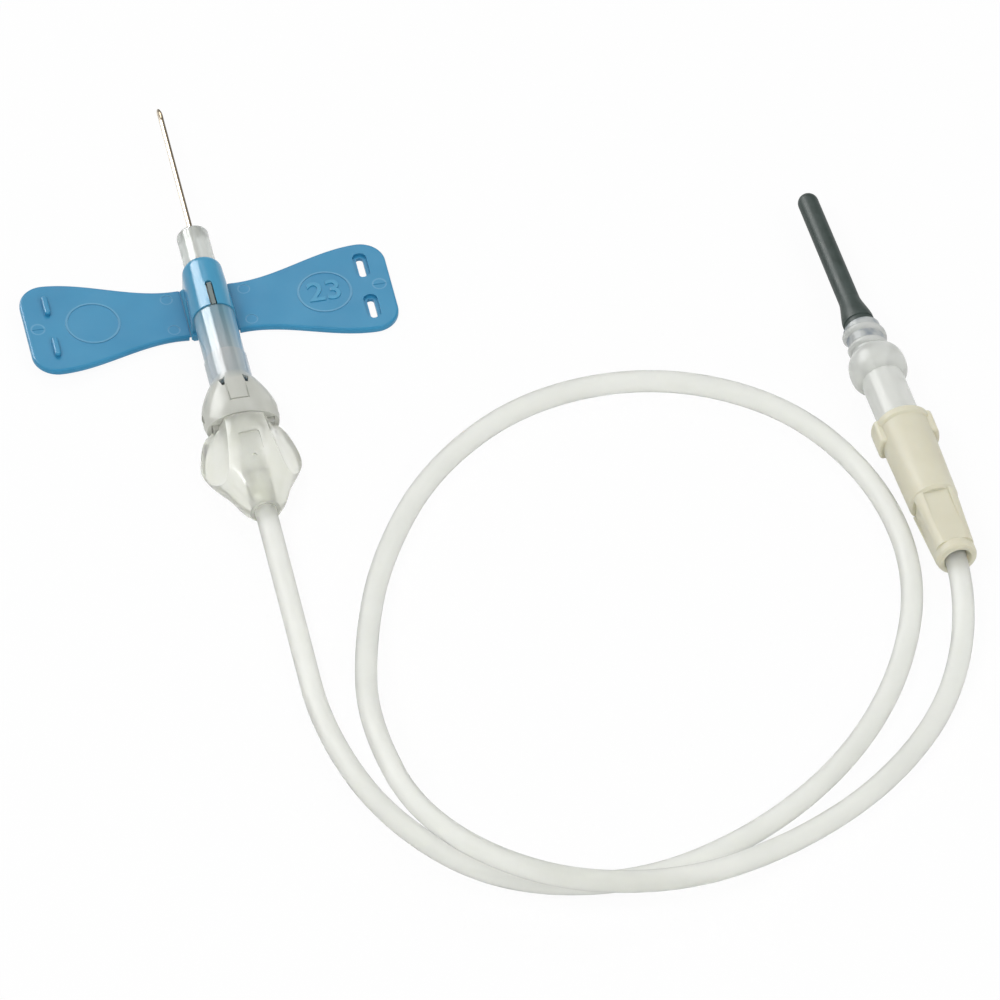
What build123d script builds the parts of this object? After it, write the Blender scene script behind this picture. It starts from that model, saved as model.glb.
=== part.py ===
from build123d import *
import os
from math import cos, sin, sqrt, radians, tan

os.makedirs("parts", exist_ok=True)

# A winged blood-collection needle with its sliding guard, tubing and luer end.
# It lies on z = 0 with the needle pointing along +Y and the wings along X.
# Lengths in millimetres, angles in degrees.

# Needle assembly, from the tip backwards
axis_height = 3.0
cannula_diameter = 0.64
cannula_bore = 0.34
cannula_exposed = 21.7
cannula_seated = 7.0
bevel_angle = 14.0
bond_gap = 0.01
glue_well_depth = 1.2
glue_well_radius = 0.9
nose_length = 5.3
nose_round = 0.35

# Needle hub, the clear inner barrel that the guard runs on
hub_radius = 1.95
hub_guide_length = 9.0
hub_waist_radius = 1.3
rear_guide_length = 2.0
rear_guide_inset = 9.4
hub_tail_radius = 1.5
hub_to_tube_gap = 0.5
hub_rib_count = 3
hub_rib_radius = 2.15
hub_rib_pitch = 0.85
hub_rib_width = 0.45
lumen_radius = 0.6

# Clear guard tube
running_clearance = 0.05
guard_radius = 2.5
guard_spigot_radius = 2.2
guard_tail_length = 17.55
catch_width = 0.5
catch_length = 3.5
catch_height = 0.45
guard_window_level = 0.9
guard_window_margin = 0.1

# Blue collar
collar_length = 8.55
collar_front_radius = 2.42
collar_rear_radius = 2.7
collar_lip = 1.6
collar_lip_clearance = 0.13
collar_front_round = 1.1
collar_slot_width = 0.85
collar_slot_length = 3.9
saddle_half_width = 2.85
saddle_chamfer = 0.3
saddle_front_inset = 1.25
saddle_overhang = 0.45

# Wings
wing_thickness = 0.9
wing_tip_x = 22.4
wing_tip_chord = 13.3
wing_waist_x = 5.4
wing_mid_x = 12.0
wing_mid_spread = 0.5
wing_corner_radius = 3.1
wing_edge_round = 0.28
hinge_x = 3.02
hinge_height = 0.7
hinge_web = 0.26
hinge_groove_width = 0.1
left_wing_lift = 3.5
ring_x = 14.2
ring_diameter = 6.6
ring_width = 0.22
ring_height = 0.1
lock_x = 19.35
lock_spacing = 6.8
peg_width = 0.75
peg_length = 3.0
peg_height = 0.6
peg_round = 0.22
peg_clearance = 0.06
recess_margin = 0.42
recess_depth = 0.4
tab_mark_x = 20.9
tab_mark_radius = 0.8
pin_mark_x = 4.75
pin_mark_radius = 0.7
pin_mark_spread = 2.5
mark_depth = 0.06

# Lock ring, the flattened dome at the back of the guard
ring_sleeve_radius = 2.62
ring_sleeve_length = 3.8
dome_length = 7.1
dome_half_width = 4.65
dome_half_height = 2.98
dome_rear_half_width = 4.4
dome_rear_half_height = 2.85
pocket_inner_x = 2.85
pocket_outer_x = 3.85
pocket_half_height = 1.15
pocket_depth = 2.5
side_window_half_height = 0.75
side_window_length = 1.3
tongue_half_width = 1.06
tongue_length = 4.0
tongue_rear_inset = 2.25
tongue_groove_width = 0.18
tongue_groove_wall = 0.1
tongue_slot_width = 0.75
tongue_slot_length = 1.35
tongue_slot_depth = 1.3

# Finger grip
ring_overhang = 0.5
grip_gap = 0.2
grip_length = 13.6
grip_half_width = 6.1
grip_top_height = 6.0
grip_end_radius = 1.85
grip_ridge_x = 2.65
grip_edge_height = 1.3
pad_radius = 9.0
pad_tilt = 6.0
window_width = 2.5
window_length = 3.3
window_inset = 4.7
window_depth = 0.25
gate_radius = 0.3
gate_inset = 7.1
tab_clearance = 0.12
tube_socket_depth = 5.0

# Tubing
tube_diameter = 2.65
tube_bore = 1.5
tube_glue_gap = 0.015
tube_run_share = 0.45

# Female luer on the far end of the tubing, from its tube end forwards
luer_rear = (78.64, -58.40)
luer_turn = 4.66
luer_axis_height = 3.5
luer_length = 22.7
luer_end_ring_length = 1.3
luer_end_ring_radius = 2.48
luer_shank_length = 9.3
luer_flat_rear = 2.32
luer_flat_front = 2.65
luer_flat_round = 1.3
luer_panel_width = 3.1
luer_body_rear_radius = 3.05
luer_body_front_radius = 3.27
luer_rim_length = 1.0
luer_rim_radius = 3.5
lug_length = 3.5
lug_reach = 3.85
lug_width = 3.4
lug_round = 0.45
luer_mouth_diameter = 4.3
luer_taper = 0.06
luer_socket_depth = 8.0
luer_socket_lumen = 0.75
luer_mouth_funnel = 0.4

# Clear multi-sample adapter
luer_face_gap = 0.3
male_luer_length = 7.5
male_luer_clearance = 0.015
male_luer_bore = 1.0
adapter_barrel_radius = 2.6
adapter_barrel_length = 7.2
adapter_flange_radius = 3.5
adapter_flange_length = 4.1
thread_root_radius = 2.28
thread_length = 4.4
sleeve_seat_depth = 1.3
sleeve_seat_clearance = 0.05
nipple_radius = 1.15
nipple_length = 3.6
nipple_barb = 0.12

# Back cannula under the rubber sleeve
back_cannula_diameter = 0.82
back_cannula_bore = 0.51
back_cannula_seated = 8.0
back_cannula_tip_gap = 0.4
back_well_radius = 0.75
back_well_depth = 0.8
sleeve_gap = 0.05
sleeve_radius = 1.27
sleeve_length = 24.0
sleeve_base_radius = 1.93
sleeve_base_length = 2.7
sleeve_flare_length = 5.9
sleeve_bore_radius = 0.75
sleeve_tip_wall = 1.6
sleeve_groove_depth = 0.12

# Places along the needle axis, from the driving lengths above
body_length = nose_length + collar_length + guard_tail_length + ring_overhang + grip_gap + grip_length
tip_y = (cannula_exposed + body_length) / 2
hub_front_y = tip_y - cannula_exposed
collar_front_y = hub_front_y - nose_length
collar_rear_y = collar_front_y - collar_length
guard_front_y = collar_front_y - collar_lip
guard_rear_y = collar_rear_y - guard_tail_length
ring_rear_y = guard_rear_y - ring_overhang
dome_front_y = ring_rear_y + dome_length
ring_front_y = dome_front_y + ring_sleeve_length
grip_front_y = ring_rear_y - grip_gap
grip_rear_y = grip_front_y - grip_length
tube_start_y = grip_rear_y + tube_socket_depth
guard_bore_radius = hub_radius + running_clearance
tube_hole_radius = tube_diameter / 2 + tube_glue_gap
needle_axis = Axis((0, 0, axis_height), (0, 1, 0))


def section(y):
    """Plane across the needle axis at y, with local x along X and local y up."""
    return Plane(origin=(0, y, axis_height), x_dir=(1, 0, 0), z_dir=(0, -1, 0))


# Steel cannula with its bevel facing up
cannula_rear_y = hub_front_y - cannula_seated
cannula_radius = cannula_diameter / 2
with BuildPart() as cannula:
    with BuildSketch(section(cannula_rear_y)):
        Circle(cannula_radius)
        Circle(cannula_bore / 2, mode=Mode.SUBTRACT)
    extrude(amount=-(tip_y - cannula_rear_y))
    bevel = Plane(
        origin=(0, tip_y, axis_height - cannula_radius),
        x_dir=(1, 0, 0),
        z_dir=(0, sin(radians(bevel_angle)), cos(radians(bevel_angle))),
    )
    split(bisect_by=bevel, keep=Keep.BOTTOM)
cannula.part.label = "cannula"
export_step(cannula.part, "parts/cannula.step")

# Cured adhesive in the well round the cannula
cannula_seat_radius = cannula_radius + bond_gap
with BuildPart() as cannula_adhesive:
    with BuildSketch(Plane.XY.offset(axis_height)):
        with BuildLine():
            Polyline(
                (cannula_seat_radius, hub_front_y - glue_well_depth),
                (glue_well_radius, hub_front_y - glue_well_depth / 2),
                (glue_well_radius, hub_front_y),
                (cannula_seat_radius, hub_front_y),
                close=True,
            )
        make_face()
    revolve(axis=needle_axis)
cannula_adhesive.part.label = "cannula_adhesive"
export_step(cannula_adhesive.part, "parts/cannula_adhesive.step")

# Needle hub: nose, front guide, waist, rear guide, and a ribbed tail inside the grip
hub_tail_y = grip_front_y + 0.4
hub_rear_y = tube_start_y + hub_to_tube_gap
rear_guide_y = guard_rear_y + rear_guide_inset
with BuildPart() as needle_hub:
    with BuildSketch(Plane.XY.offset(axis_height)):
        with BuildLine():
            Polyline(
                (0, hub_front_y),
                (hub_radius, hub_front_y),
                (hub_radius, hub_front_y - hub_guide_length),
                (hub_waist_radius, hub_front_y - hub_guide_length - 0.5),
                (hub_waist_radius, rear_guide_y + 0.3),
                (hub_radius, rear_guide_y),
                (hub_radius, rear_guide_y - rear_guide_length),
                (hub_waist_radius, rear_guide_y - rear_guide_length - 0.3),
                (hub_waist_radius, hub_tail_y),
                (hub_tail_radius, hub_tail_y),
                (hub_tail_radius, hub_rear_y),
                (0, hub_rear_y),
                close=True,
            )
        make_face()
    revolve(axis=needle_axis)
    nose_rim = needle_hub.edges().filter_by(GeomType.CIRCLE).sort_by(Axis.Y)[-1]
    fillet(nose_rim, radius=nose_round)
    for index in range(hub_rib_count):
        with BuildSketch(section(grip_front_y - 0.1 - index * hub_rib_pitch)):
            Circle(hub_rib_radius)
            Circle(hub_tail_radius - 0.1, mode=Mode.SUBTRACT)
        extrude(amount=hub_rib_width)
    with BuildSketch(Plane.XY.offset(axis_height)):
        with BuildLine():
            Polyline(
                (0, hub_front_y),
                (glue_well_radius, hub_front_y),
                (glue_well_radius, hub_front_y - glue_well_depth / 2),
                (cannula_seat_radius, hub_front_y - glue_well_depth),
                (cannula_seat_radius, cannula_rear_y),
                (lumen_radius, cannula_rear_y),
                (lumen_radius, hub_rear_y),
                (0, hub_rear_y),
                close=True,
            )
        make_face()
    revolve(axis=needle_axis, mode=Mode.SUBTRACT)
needle_hub.part.label = "needle_hub"
export_step(needle_hub.part, "parts/needle_hub.step")

# Clear guard tube: a spigot for the collar with a small catch on top, and two lock windows at its rear
tongue_rear_y = ring_rear_y + tongue_rear_inset
lock_window_y = tongue_rear_y + tongue_length - tongue_slot_length / 2
with BuildPart() as guard_tube:
    with BuildSketch(Plane.XY.offset(axis_height)):
        with BuildLine():
            Polyline(
                (guard_bore_radius, guard_front_y),
                (guard_spigot_radius, guard_front_y),
                (guard_spigot_radius, collar_rear_y),
                (guard_radius, collar_rear_y),
                (guard_radius, guard_rear_y),
                (guard_bore_radius, guard_rear_y),
                close=True,
            )
        make_face()
    revolve(axis=needle_axis)
    catch_top = guard_spigot_radius + catch_height
    with BuildSketch(section(collar_rear_y)):
        with Locations((0, (catch_top + guard_spigot_radius - 0.2) / 2)):
            Rectangle(catch_width, catch_top - guard_spigot_radius + 0.2)
    extrude(amount=-catch_length)
    with BuildSketch(Plane.XY.offset(axis_height + guard_window_level)):
        for side in (-1, 1):
            with Locations((side * (tongue_half_width + tongue_slot_width / 2), lock_window_y)):
                Rectangle(
                    tongue_slot_width - 2 * guard_window_margin,
                    tongue_slot_length - 2 * guard_window_margin,
                )
    extrude(amount=guard_radius, mode=Mode.SUBTRACT)
guard_tube.part.label = "guard_tube"
export_step(guard_tube.part, "parts/guard_tube.step")

# Blue collar: an arched tunnel, wider at its rear, on a saddle that carries the wings
collar_bore_radius = guard_spigot_radius + bond_gap
saddle_front_y = collar_front_y - saddle_front_inset
saddle_rear_y = collar_rear_y - saddle_overhang
slot_front_y = collar_rear_y + collar_slot_length
with BuildPart() as wing_collar:
    for y, radius in ((collar_rear_y, collar_rear_radius), (collar_front_y, collar_front_radius)):
        with BuildSketch(section(y)):
            Circle(radius)
            with Locations((0, -axis_height / 2)):
                Rectangle(2 * radius, axis_height)
    loft()
    front_edges = wing_collar.faces().sort_by(Axis.Y)[-1].edges()
    fillet(front_edges.sort_by(Axis.Z)[1:], radius=collar_front_round)
    with BuildSketch(section(saddle_front_y)):
        with Locations((0, wing_thickness / 2 - axis_height)):
            Rectangle(2 * saddle_half_width, wing_thickness)
        chamfer(vertices().group_by(Axis.Z)[-1], length=saddle_chamfer)
    extrude(amount=saddle_front_y - saddle_rear_y)
    with BuildSketch(section(collar_front_y)):
        Circle(hub_radius + collar_lip_clearance)
    extrude(amount=collar_lip, mode=Mode.SUBTRACT)
    with BuildSketch(section(guard_front_y)):
        Circle(collar_bore_radius)
    extrude(amount=guard_front_y - collar_rear_y, mode=Mode.SUBTRACT)
    with BuildSketch(section(collar_rear_y)):
        Circle(guard_radius + bond_gap)
    extrude(amount=saddle_overhang + 1, mode=Mode.SUBTRACT)
    with BuildSketch(Plane.XY.offset(axis_height)):
        with Locations((0, collar_rear_y + (collar_slot_length - collar_slot_width / 2) / 2)):
            Rectangle(collar_slot_width, collar_slot_length - collar_slot_width / 2)
        with Locations((0, slot_front_y - collar_slot_width / 2)):
            Circle(collar_slot_width / 2)
    extrude(amount=collar_rear_radius + 1, mode=Mode.SUBTRACT)
wing_collar.part.label = "wing_collar"
export_step(wing_collar.part, "parts/wing_collar.step")

# Wings: one flat blade each side, waisted at the root and squared at the tip
wing_centre_y = (saddle_front_y + saddle_rear_y) / 2
wing_root_chord = saddle_front_y - saddle_rear_y
wing_root_x = hinge_x + hinge_groove_width


def wing_edge(side, x, half_chord):
    """Point on a wing's outline at x, ahead of or behind the wing's middle line."""
    return (x, wing_centre_y + side * half_chord)


def long_edge(side):
    """Points of the leading (1) or trailing (-1) edge, from the hinge groove outwards."""
    mid_half_chord = (wing_root_chord + wing_tip_chord) / 4 + wing_mid_spread / 2
    return [
        wing_edge(side, wing_root_x, wing_root_chord / 2),
        wing_edge(side, wing_waist_x, wing_root_chord / 2 + 0.02),
        wing_edge(side, wing_mid_x, mid_half_chord),
        wing_edge(side, wing_tip_x, wing_tip_chord / 2),
    ]


web_chord = wing_root_chord - 0.3
web_outer_x = wing_root_x + 0.1
with BuildPart() as plain_wing:
    with BuildSketch(Plane.XY) as blade_outline:
        with BuildLine():
            front = Spline(*long_edge(1))
            rear = Spline(*long_edge(-1))
            Line(front @ 1, rear @ 1)
            Line(front @ 0, rear @ 0)
        make_face()
        fillet(blade_outline.vertices().group_by(Axis.X)[-1], radius=wing_corner_radius)
    extrude(amount=wing_thickness)
    rims = plain_wing.faces().sort_by(Axis.Z)
    outer_edges = (rims[0].edges() + rims[-1].edges()).sort_by(Axis.X)[2:]
    fillet(outer_edges, radius=wing_edge_round)
    with BuildSketch(Plane.XZ.offset(-(wing_centre_y + web_chord / 2))):
        with Locations((hinge_x, hinge_height)):
            Circle(hinge_web / 2)
        with Locations(((hinge_x + web_outer_x) / 2, hinge_height)):
            Rectangle(web_outer_x - hinge_x, hinge_web)
    extrude(amount=web_chord)
    with BuildSketch(Plane.XY.offset(wing_thickness - 0.05)):
        with Locations((ring_x, wing_centre_y)):
            Circle(ring_diameter / 2)
            Circle(ring_diameter / 2 - ring_width, mode=Mode.SUBTRACT)
    extrude(amount=ring_height + 0.05)
    with BuildSketch(Plane.XY.offset(wing_thickness - mark_depth)):
        with Locations((tab_mark_x, wing_centre_y)):
            Circle(tab_mark_radius)
            with Locations((0, tab_mark_radius / 2)):
                Rectangle(2 * tab_mark_radius, tab_mark_radius, mode=Mode.SUBTRACT)
        for side in (-1, 1):
            with Locations((pin_mark_x, wing_centre_y + side * pin_mark_spread)):
                Circle(pin_mark_radius)
    extrude(amount=mark_depth, mode=Mode.SUBTRACT)

lock_places = [(lock_x, wing_centre_y + side * lock_spacing / 2) for side in (-1, 1)]
with BuildPart() as wing_right:
    add(plain_wing.part)
    with BuildSketch(Plane.XY.offset(wing_thickness - recess_depth)):
        with Locations(*lock_places):
            RectangleRounded(
                peg_width + 2 * (peg_clearance + recess_margin),
                peg_length + 2 * (peg_clearance + recess_margin),
                peg_width / 2 + peg_clearance + recess_margin - 0.05,
            )
    extrude(amount=recess_depth, mode=Mode.SUBTRACT)
    with BuildSketch(Plane.XY):
        with Locations(*lock_places):
            RectangleRounded(peg_width + 2 * peg_clearance, peg_length + 2 * peg_clearance, peg_width / 2)
    extrude(amount=wing_thickness, mode=Mode.SUBTRACT)
wing_right.part.label = "wing_right"
export_step(wing_right.part, "parts/wing_right.step")

with BuildPart() as flat_left_wing:
    mirror(plain_wing.part, about=Plane.YZ)
    with BuildSketch(Plane.XY.offset(wing_thickness - 0.1)):
        with Locations(*[(-x, y) for x, y in lock_places]):
            RectangleRounded(peg_width, peg_length, peg_width / 2 - 0.02)
    pegs = extrude(amount=peg_height + 0.1)
    fillet(pegs.faces().group_by(Axis.Z)[-1].edges(), radius=peg_round)
with BuildPart() as wing_left:
    left_hinge = Axis((-hinge_x, 0, hinge_height), (0, 1, 0))
    add(flat_left_wing.part.rotate(left_hinge, left_wing_lift))
wing_left.part.label = "wing_left"
export_step(wing_left.part, "parts/wing_left.step")

# Lock ring: a low oval dome with a top tongue, two slots and side pockets
with BuildPart() as lock_ring:
    with BuildSketch(section(ring_front_y)):
        Circle(ring_sleeve_radius)
    extrude(amount=ring_sleeve_length)
    with BuildSketch(section(dome_front_y)):
        Circle(ring_sleeve_radius)
    with BuildSketch(section(dome_front_y - 0.32 * dome_length)):
        Ellipse(
            0.5 * (ring_sleeve_radius + dome_half_width) + 0.25,
            0.5 * (ring_sleeve_radius + dome_half_height),
        )
    with BuildSketch(section(dome_front_y - 0.75 * dome_length)):
        Ellipse(dome_half_width, dome_half_height)
    with BuildSketch(section(ring_rear_y)):
        Ellipse(dome_rear_half_width, dome_rear_half_height)
    loft()
    with BuildSketch(section(ring_front_y)):
        Circle(guard_radius + bond_gap)
    extrude(amount=ring_front_y - guard_rear_y, mode=Mode.SUBTRACT)
    with BuildSketch(section(guard_rear_y)):
        Circle(guard_radius - 0.4)
    extrude(amount=1, mode=Mode.SUBTRACT)
    pocket_middle_x = (pocket_inner_x + pocket_outer_x) / 2
    with BuildSketch(section(ring_rear_y)):
        with Locations((pocket_middle_x, 0), (-pocket_middle_x, 0)):
            Rectangle(pocket_outer_x - pocket_inner_x, 2 * pocket_half_height)
    extrude(amount=-pocket_depth, mode=Mode.SUBTRACT)
    window_y = ring_rear_y + pocket_depth - side_window_length / 2 - 0.2
    with BuildSketch(Plane.YZ.offset(-dome_half_width - 1)):
        with Locations((window_y, axis_height)):
            Rectangle(side_window_length, 2 * side_window_half_height)
    extrude(amount=dome_half_width + 1 - pocket_middle_x, mode=Mode.SUBTRACT)
    with BuildSketch(Plane.YZ.offset(pocket_middle_x)):
        with Locations((window_y, axis_height)):
            Rectangle(side_window_length, 2 * side_window_half_height)
    extrude(amount=dome_half_width, mode=Mode.SUBTRACT)
    groove_floor = axis_height + guard_radius + tongue_groove_wall
    groove_outer = tongue_half_width + tongue_groove_width
    with BuildSketch(Plane.XY.offset(groove_floor)):
        with BuildLine():
            Polyline(
                (-groove_outer, tongue_rear_y + tongue_length),
                (-groove_outer, tongue_rear_y - tongue_groove_width),
                (groove_outer, tongue_rear_y - tongue_groove_width),
                (groove_outer, tongue_rear_y + tongue_length),
                (tongue_half_width, tongue_rear_y + tongue_length),
                (tongue_half_width, tongue_rear_y),
                (-tongue_half_width, tongue_rear_y),
                (-tongue_half_width, tongue_rear_y + tongue_length),
                close=True,
            )
        make_face()
    extrude(amount=2, mode=Mode.SUBTRACT)
    slot_rear_y = tongue_rear_y + tongue_length - tongue_slot_length
    slot_outer = tongue_half_width + tongue_slot_width
    with BuildSketch(Plane.XY.offset(axis_height + guard_radius - tongue_slot_depth)):
        for side in (-1, 1):
            with BuildLine():
                Polyline(
                    (side * tongue_half_width, tongue_rear_y + tongue_length),
                    (side * slot_outer, tongue_rear_y + tongue_length - 0.25),
                    (side * (slot_outer - 0.25), slot_rear_y),
                    (side * (tongue_half_width + 0.2), slot_rear_y),
                    close=True,
                )
            make_face()
    extrude(amount=2, mode=Mode.SUBTRACT)
lock_ring.part.label = "lock_ring"
export_step(lock_ring.part, "parts/lock_ring.step")

# Finger grip: a bulb lofted through ovals, flat underneath, with two hollowed finger pads
front_top = grip_top_height - 0.1
grip_ovals = [
    # share of the length, half width, height of the middle, height of the top
    (0.0, 0.75 * grip_half_width, 2.4, front_top),
    (0.1, 0.9 * grip_half_width, 2.3, grip_top_height),
    (0.25, grip_half_width, 2.2, grip_top_height),
    (0.4, grip_half_width, 2.2, grip_top_height),
    (0.52, 0.9 * grip_half_width, 2.35, grip_top_height),
    (0.66, 0.71 * grip_half_width, 2.6, axis_height + 2.95),
    (0.84, 0.52 * grip_half_width, 2.85, axis_height + 2.75),
    (0.95, 0.39 * grip_half_width, 2.97, axis_height + 2.3),
    (1.0, grip_end_radius, axis_height, axis_height + grip_end_radius),
]
pad_rise = grip_top_height - grip_edge_height
pad_run = grip_half_width - grip_ridge_x
pad_chord = sqrt(pad_rise**2 + pad_run**2)
pad_offset = sqrt(pad_radius**2 - pad_chord**2 / 4)
pad_centre_x = (grip_half_width + grip_ridge_x) / 2 + pad_offset * pad_rise / pad_chord
pad_centre_z = (grip_top_height + grip_edge_height) / 2 + pad_offset * pad_run / pad_chord
pad_lead_in = 0.4 * grip_length
rib_room = hub_rib_count * hub_rib_pitch + 0.2
with BuildPart() as grip:
    for share, half_width, middle, top in grip_ovals:
        with BuildSketch(section(grip_front_y - share * grip_length)):
            with Locations((0, middle - axis_height)):
                Ellipse(half_width, top - middle)
    loft()
    with BuildSketch(Plane.XY.offset(-5)):
        with Locations((0, (grip_front_y + grip_rear_y) / 2)):
            Rectangle(20, grip_length + 10)
    extrude(amount=5, mode=Mode.SUBTRACT)
    for side in (-1, 1):
        pad_front_x = pad_centre_x - pad_lead_in * tan(radians(pad_tilt))
        pad_plane = Plane(
            origin=(side * pad_front_x, grip_front_y + 1, pad_centre_z),
            x_dir=(cos(radians(pad_tilt)), side * sin(radians(pad_tilt)), 0),
            z_dir=(side * sin(radians(pad_tilt)), -cos(radians(pad_tilt)), 0),
        )
        with BuildSketch(pad_plane):
            Circle(pad_radius)
        extrude(amount=grip_length + 2, mode=Mode.SUBTRACT)
    with BuildSketch(Plane.XY.offset(grip_top_height - window_depth)):
        with Locations((0, grip_front_y - window_inset)):
            RectangleRounded(window_width, window_length, 0.4)
        with Locations((0, grip_front_y - gate_inset)):
            Circle(gate_radius)
    extrude(amount=1, mode=Mode.SUBTRACT)
    tab_middle_x = (pocket_inner_x + pocket_outer_x) / 2
    with BuildSketch(section(grip_front_y - 0.5)):
        with Locations((tab_middle_x, 0), (-tab_middle_x, 0)):
            Rectangle(
                pocket_outer_x - pocket_inner_x - 2 * tab_clearance,
                2 * (pocket_half_height - tab_clearance),
            )
    extrude(amount=-(grip_gap + pocket_depth))
    with BuildSketch(Plane.XY.offset(axis_height)):
        with BuildLine():
            Polyline(
                (0, grip_rear_y),
                (tube_hole_radius, grip_rear_y),
                (tube_hole_radius, tube_start_y),
                (lumen_radius, tube_start_y),
                (lumen_radius, hub_rear_y - bond_gap),
                (hub_tail_radius + bond_gap, hub_rear_y - bond_gap),
                (hub_tail_radius + bond_gap, grip_front_y - rib_room),
                (hub_rib_radius + bond_gap, grip_front_y - rib_room),
                (hub_rib_radius + bond_gap, grip_front_y),
                (0, grip_front_y),
                close=True,
            )
        make_face()
    revolve(axis=needle_axis, mode=Mode.SUBTRACT)
grip.part.label = "grip"
export_step(grip.part, "parts/grip.step")

# Far end: a frame whose y axis runs from the tube's end towards the sleeve's tip
luer_direction = (-sin(radians(luer_turn)), cos(radians(luer_turn)), 0)
luer_frame = Plane(
    origin=(luer_rear[0], luer_rear[1], luer_axis_height),
    x_dir=(cos(radians(luer_turn)), sin(radians(luer_turn)), 0),
    z_dir=(0, 0, 1),
)
luer_axis = Axis(luer_frame.origin, luer_direction)


def luer_section(distance):
    """Plane across the far end's axis, distance ahead of the tube's entry."""
    return Plane(
        origin=luer_frame.from_local_coords((0, distance, 0)),
        x_dir=luer_frame.x_dir,
        z_dir=luer_direction,
    )


# Female luer: end ring, four-sided shank with a recessed panel on each side, round body, rim and lugs
socket_floor = luer_length - luer_socket_depth
rim_rear = luer_length - luer_rim_length
with BuildPart() as plain_luer:
    for distance, half_size in (
        (luer_end_ring_length, luer_flat_rear),
        (luer_shank_length, luer_flat_front),
    ):
        with BuildSketch(luer_section(distance)):
            RectangleRounded(2 * half_size, 2 * half_size, luer_flat_round)
    loft()
    with BuildSketch(luer_section(luer_end_ring_length)):
        with PolarLocations(luer_flat_rear + 0.5, 4):
            Rectangle(1, luer_panel_width)
    extrude(amount=luer_shank_length - luer_end_ring_length, mode=Mode.SUBTRACT)
    with BuildSketch(luer_frame):
        with BuildLine():
            Polyline(
                (0, 0),
                (luer_end_ring_radius - 0.45, 0),
                (luer_end_ring_radius - 0.12, 0.15),
                (luer_end_ring_radius, 0.45),
                (luer_end_ring_radius, luer_end_ring_length),
                (luer_end_ring_radius - 0.2, luer_end_ring_length + 0.3),
                (0, luer_end_ring_length + 0.3),
                close=True,
            )
        make_face()
        with BuildLine():
            Polyline(
                (0, luer_shank_length),
                (luer_body_rear_radius - 0.3, luer_shank_length),
                (luer_body_rear_radius, luer_shank_length + 0.4),
                (luer_body_front_radius, rim_rear - 0.3),
                (luer_rim_radius, rim_rear),
                (luer_rim_radius, luer_length - 0.3),
                (luer_rim_radius - 0.3, luer_length),
                (0, luer_length),
                close=True,
            )
        make_face()
    revolve(axis=luer_axis)
with BuildPart() as luer_lugs:
    with BuildSketch(luer_section(luer_length - lug_length)):
        Circle(lug_reach)
        Rectangle(3 * lug_reach, lug_width, mode=Mode.INTERSECT)
    extrude(amount=lug_length)
    fillet(luer_lugs.edges(), radius=lug_round)
with BuildPart() as female_luer:
    add(plain_luer.part)
    add(luer_lugs.part)
    with BuildSketch(luer_frame):
        with BuildLine():
            Polyline(
                (0, 0),
                (tube_hole_radius + luer_mouth_funnel, 0),
                (tube_hole_radius, luer_mouth_funnel * 2),
                (tube_hole_radius, tube_socket_depth - 0.8),
                (luer_socket_lumen, tube_socket_depth - 0.8),
                (luer_socket_lumen, socket_floor),
                (luer_mouth_diameter / 2 - luer_socket_depth * luer_taper / 2, socket_floor),
                (luer_mouth_diameter / 2, luer_length),
                (0, luer_length),
                close=True,
            )
        make_face()
    revolve(axis=luer_axis, mode=Mode.SUBTRACT)
female_luer.part.label = "female_luer"
export_step(female_luer.part, "parts/female_luer.step")

# Clear adapter: male luer, barrel, domed flange, and a neck for the thread with the sleeve's seat in it
adapter_rear = luer_length + luer_face_gap
male_tip = luer_length - male_luer_length
barrel_front = adapter_rear + adapter_barrel_length
adapter_flange_front = barrel_front + adapter_flange_length
neck_front = adapter_flange_front + thread_length
seat_floor = neck_front - sleeve_seat_depth
sleeve_seat_radius = sleeve_base_radius + sleeve_seat_clearance
nipple_front = neck_front + nipple_length
back_cannula_rear = neck_front + nipple_length - back_cannula_seated


def luer_radius(distance):
    """Radius of the male taper at a distance ahead of the tube's entry."""
    return luer_mouth_diameter / 2 - male_luer_clearance - (luer_length - distance) * luer_taper / 2


with BuildPart() as luer_adapter:
    with BuildSketch(luer_frame):
        with BuildLine():
            Polyline(
                (adapter_barrel_radius, barrel_front - 0.2),
                (adapter_barrel_radius, adapter_rear),
                (luer_radius(adapter_rear), adapter_rear),
                (luer_radius(male_tip), male_tip),
                (0, male_tip),
                (0, nipple_front),
                (nipple_radius - 0.15, nipple_front),
                (nipple_radius + nipple_barb, nipple_front - 0.8),
                (nipple_radius + nipple_barb, nipple_front - 1.1),
                (nipple_radius, nipple_front - 1.1),
                (nipple_radius, seat_floor),
                (sleeve_seat_radius, seat_floor),
                (sleeve_seat_radius, neck_front),
                (thread_root_radius - 0.12, neck_front),
                (thread_root_radius, neck_front - 0.15),
                (thread_root_radius, adapter_flange_front - 0.1),
            )
            Bezier(
                (thread_root_radius, adapter_flange_front - 0.1),
                (adapter_flange_radius - 0.5, adapter_flange_front - 0.2),
                (adapter_flange_radius, adapter_flange_front - 1.0),
                (adapter_flange_radius, barrel_front + 1.5),
            )
            Bezier(
                (adapter_flange_radius, barrel_front + 1.5),
                (adapter_flange_radius, barrel_front + 0.5),
                (adapter_flange_radius - 0.3, barrel_front),
                (adapter_barrel_radius, barrel_front - 0.2),
            )
        make_face()
        with BuildLine():
            Polyline(
                (0, male_tip),
                (male_luer_bore, male_tip),
                (male_luer_bore, back_cannula_rear - 0.6),
                (back_cannula_diameter / 2 + bond_gap, back_cannula_rear),
                (back_cannula_diameter / 2 + bond_gap, nipple_front - back_well_depth),
                (back_well_radius, nipple_front),
                (0, nipple_front),
                close=True,
            )
        make_face(mode=Mode.SUBTRACT)
    revolve(axis=luer_axis)
luer_adapter.part.label = "luer_adapter"
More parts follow.
